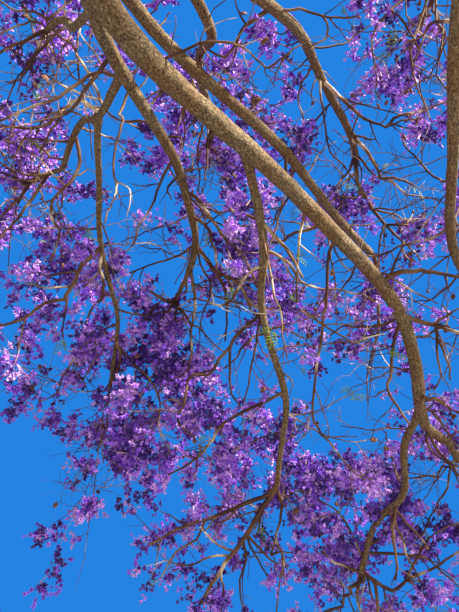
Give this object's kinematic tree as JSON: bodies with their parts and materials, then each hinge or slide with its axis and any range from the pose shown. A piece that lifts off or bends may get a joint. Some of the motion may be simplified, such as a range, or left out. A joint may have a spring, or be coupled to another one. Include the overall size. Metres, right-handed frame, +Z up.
{
  "type": "jacaranda tree",
  "caption": "Wide, nearly leafless tree in full violet bloom: a short leaning trunk with a flared root collar, sinuous spreading boughs and open masses of blossom at their tips.",
  "frame": {"origin": "middle of the flat cut at ground level, under the trunk's root flare", "axes": "+Z up, +Y towards the side of the crown that the picture shows, +X to that view's right"},
  "size_m": [12.9996, 15.2283, 8.5817],
  "materials": {
    "bark": "rough, fissured grey-tan bark, mottled with darker knots",
    "blossom": "matt violet petals",
    "twig": "smooth red-brown to cream young bark",
    "leaf": "soft fresh green leaflets",
    "pod": "dry brown woody seed pods"
  },
  "bodies": {
    "root": {"bough_east": "bark", "bough_east_of_north": "bark", "bough_east_upper": "bark", "bough_north": "bark", "bough_north_drooping": "bark", "bough_north_east": "bark", "bough_north_east_far": "bark", "bough_north_inner": "bark", "bough_north_low": "bark", "bough_north_west": "bark", "bough_south": "bark", "bough_south_east": "bark", "bough_south_upper": "bark", "bough_south_west": "bark", "bough_top": "bark", "bough_upper_east": "bark", "bough_upper_north": "bark", "bough_upper_north_east": "bark", "bough_west": "bark", "bough_west_north": "bark", "bough_west_of_north": "bark", "bough_west_upper": "bark", "leader_east": "bark", "leader_middle": "bark", "leader_north": "bark", "leader_south": "bark", "leader_west": "bark", "trunk": "bark", "blossom_east_1": "blossom", "blossom_east_2": "blossom", "blossom_east_of_north_1": "blossom", "blossom_east_upper_1": "blossom", "blossom_north_1": "blossom", "blossom_north_2": "blossom", "blossom_north_drooping_1": "blossom", "blossom_north_east_far_1": "blossom", "blossom_north_east_far_2": "blossom", "blossom_north_inner_1": "blossom", "blossom_north_inner_2": "blossom", "blossom_north_low_1": "blossom", "blossom_north_low_2": "blossom", "blossom_north_west_1": "blossom", "blossom_north_west_2": "blossom", "blossom_south_1": "blossom", "blossom_south_2": "blossom", "blossom_south_east_1": "blossom", "blossom_south_east_2": "blossom", "blossom_south_upper_1": "blossom", "blossom_south_west_1": "blossom", "blossom_top_1": "blossom", "blossom_top_2": "blossom", "blossom_upper_east_1": "blossom", "blossom_upper_east_2": "blossom", "blossom_upper_north_1": "blossom", "blossom_upper_north_east_1": "blossom", "blossom_west_1": "blossom", "blossom_west_2": "blossom", "blossom_west_north_1": "blossom", "blossom_west_of_north_1": "blossom", "blossom_west_upper_1": "blossom"}
  },
  "joints": []
}
